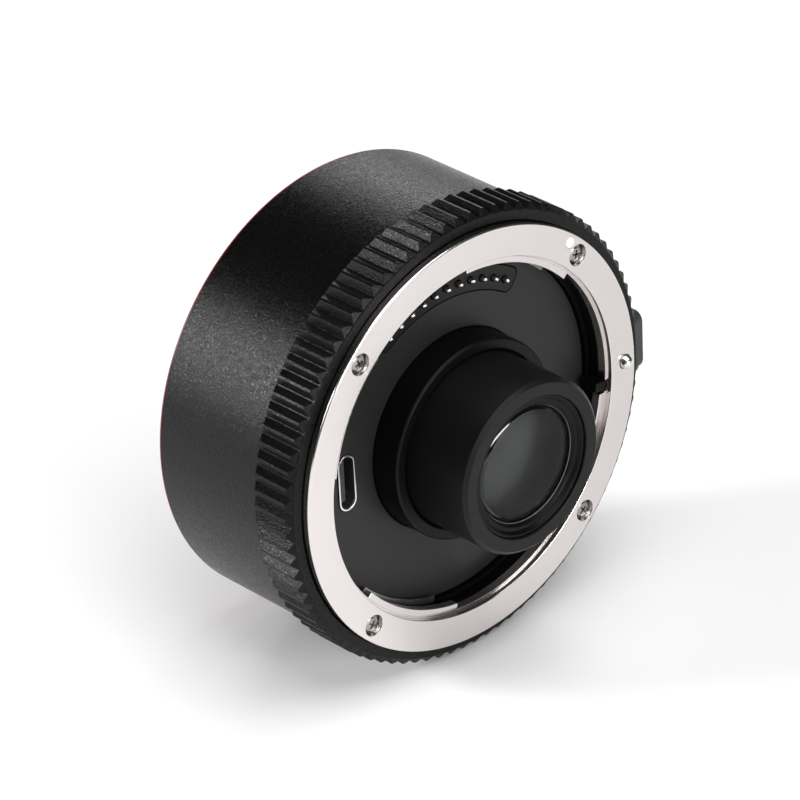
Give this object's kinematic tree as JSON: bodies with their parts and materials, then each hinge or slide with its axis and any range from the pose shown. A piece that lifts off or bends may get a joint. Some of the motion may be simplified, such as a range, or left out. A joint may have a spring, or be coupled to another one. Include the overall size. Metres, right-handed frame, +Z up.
{
  "type": "camera teleconverter",
  "caption": "Short round teleconverter with a ribbed grip, a female bayonet and protruding optics on the lens side and a male bayonet on the camera side.",
  "frame": {"origin": "centre of the camera mount's face, on the optical axis", "axes": "optical axis along Y with the lens side towards -Y, +Z up with the contacts at the top, +X towards the release button"},
  "size_m": [0.0716, 0.0471, 0.0698],
  "materials": {
    "barrel_paint": "fine pebbled black paint",
    "grip_rubber": "grained black rubber",
    "accent_paint": "satin red paint",
    "mount_metal": "polished bright metal",
    "screw_steel": "bright steel",
    "white_enamel": "white enamel",
    "spring_steel": "spring steel",
    "black_metal": "black anodised aluminium",
    "black_plastic": "matt black moulded plastic",
    "contact_gold": "gold plated",
    "socket_steel": "bright nickel",
    "board_green": "solder mask",
    "flex_amber": "polyimide film",
    "glass": "coated optical glass"
  },
  "bodies": {
    "converter_body": {"barrel_shell": "barrel_paint", "grip_sleeve": "grip_rubber", "accent_ring": "accent_paint", "lens_mount_ring": "mount_metal", "lens_mount_screws": "screw_steel", "index_dots": "white_enamel", "bayonet_springs": "spring_steel", "rotation_stop": "black_plastic", "front_frame": "black_metal", "baffle_plate": "black_plastic", "contact_block": "black_plastic", "contact_sleeves": "contact_gold", "contact_springs": "spring_steel", "usb_shell": "socket_steel", "usb_tongue": "black_plastic", "main_board": "board_green", "main_chip": "black_plastic", "board_screws": "screw_steel", "flex_cable": "flex_amber", "optics_base": "black_metal", "optics_screws": "screw_steel", "nose_barrel": "black_metal", "front_retaining_ring": "black_metal", "front_element": "glass", "front_spacer": "black_metal", "lens_element_2": "glass", "middle_spacer": "black_metal", "lens_element_3": "glass", "lens_element_4": "glass", "rear_lens_tube": "black_metal", "lens_element_5": "glass", "rear_spacer": "black_metal", "lens_element_6": "glass", "rear_element": "glass", "rear_retaining_ring": "black_metal", "button_bezel": "black_plastic", "button_springs": "spring_steel", "lock_pin_spring": "spring_steel", "rear_frame": "black_metal", "chassis_posts": "contact_gold", "barrel_screws": "screw_steel", "rear_mount_ring": "mount_metal", "rear_mount_screws": "screw_steel", "rear_contact_block": "black_plastic", "rear_contact_pads": "contact_gold", "rear_cover": "black_plastic"},
    "contact_pin_1": {"contact_pin_1": "contact_gold"},
    "contact_pin_2": {"contact_pin_2": "contact_gold"},
    "contact_pin_3": {"contact_pin_3": "contact_gold"},
    "contact_pin_4": {"contact_pin_4": "contact_gold"},
    "contact_pin_5": {"contact_pin_5": "contact_gold"},
    "contact_pin_6": {"contact_pin_6": "contact_gold"},
    "contact_pin_7": {"contact_pin_7": "contact_gold"},
    "contact_pin_8": {"contact_pin_8": "contact_gold"},
    "contact_pin_9": {"contact_pin_9": "contact_gold"},
    "contact_pin_10": {"contact_pin_10": "contact_gold"},
    "contact_pin_11": {"contact_pin_11": "contact_gold"},
    "release_button": {"release_button": "black_plastic"},
    "lock_pin": {"lock_pin": "socket_steel"}
  },
  "joints": [
    {"name": "release_button_press", "type": "slide", "parent": "converter_body", "child": "release_button", "axis": [-1, 0, 0], "range_m": [0, 0.0013], "stiffness_N_per_m": 600, "springref_m": -0.003, "deforming": ["button_springs"]},
    {"name": "lock_pin_retract", "type": "slide", "parent": "converter_body", "child": "lock_pin", "axis": [0, 1, 0], "range_m": [0, 0.0013], "stiffness_N_per_m": 300, "springref_m": -0.004, "deforming": ["lock_pin_spring"]},
    {"name": "contact_pin_1_press", "type": "slide", "parent": "converter_body", "child": "contact_pin_1", "axis": [0, 1, 0], "range_m": [0, 0.0007], "stiffness_N_per_m": 250, "springref_m": -0.0012, "deforming": ["contact_springs"]},
    {"name": "contact_pin_2_press", "type": "slide", "parent": "converter_body", "child": "contact_pin_2", "axis": [0, 1, 0], "range_m": [0, 0.0007], "stiffness_N_per_m": 250, "springref_m": -0.0012, "deforming": ["contact_springs"]},
    {"name": "contact_pin_3_press", "type": "slide", "parent": "converter_body", "child": "contact_pin_3", "axis": [0, 1, 0], "range_m": [0, 0.0007], "stiffness_N_per_m": 250, "springref_m": -0.0012, "deforming": ["contact_springs"]},
    {"name": "contact_pin_4_press", "type": "slide", "parent": "converter_body", "child": "contact_pin_4", "axis": [0, 1, 0], "range_m": [0, 0.0007], "stiffness_N_per_m": 250, "springref_m": -0.0012, "deforming": ["contact_springs"]},
    {"name": "contact_pin_5_press", "type": "slide", "parent": "converter_body", "child": "contact_pin_5", "axis": [0, 1, 0], "range_m": [0, 0.0007], "stiffness_N_per_m": 250, "springref_m": -0.0012, "deforming": ["contact_springs"]},
    {"name": "contact_pin_6_press", "type": "slide", "parent": "converter_body", "child": "contact_pin_6", "axis": [0, 1, 0], "range_m": [0, 0.0007], "stiffness_N_per_m": 250, "springref_m": -0.0012, "deforming": ["contact_springs"]},
    {"name": "contact_pin_7_press", "type": "slide", "parent": "converter_body", "child": "contact_pin_7", "axis": [0, 1, 0], "range_m": [0, 0.0007], "stiffness_N_per_m": 250, "springref_m": -0.0012, "deforming": ["contact_springs"]},
    {"name": "contact_pin_8_press", "type": "slide", "parent": "converter_body", "child": "contact_pin_8", "axis": [0, 1, 0], "range_m": [0, 0.0007], "stiffness_N_per_m": 250, "springref_m": -0.0012, "deforming": ["contact_springs"]},
    {"name": "contact_pin_9_press", "type": "slide", "parent": "converter_body", "child": "contact_pin_9", "axis": [0, 1, 0], "range_m": [0, 0.0007], "stiffness_N_per_m": 250, "springref_m": -0.0012, "deforming": ["contact_springs"]},
    {"name": "contact_pin_10_press", "type": "slide", "parent": "converter_body", "child": "contact_pin_10", "axis": [0, 1, 0], "range_m": [0, 0.0007], "stiffness_N_per_m": 250, "springref_m": -0.0012, "deforming": ["contact_springs"]},
    {"name": "contact_pin_11_press", "type": "slide", "parent": "converter_body", "child": "contact_pin_11", "axis": [0, 1, 0], "range_m": [0, 0.0007], "stiffness_N_per_m": 250, "springref_m": -0.0012, "deforming": ["contact_springs"]}
  ],
  "couplings": [
    {"joint": "lock_pin_retract", "follows": "release_button_press", "ratio": 1}
  ]
}
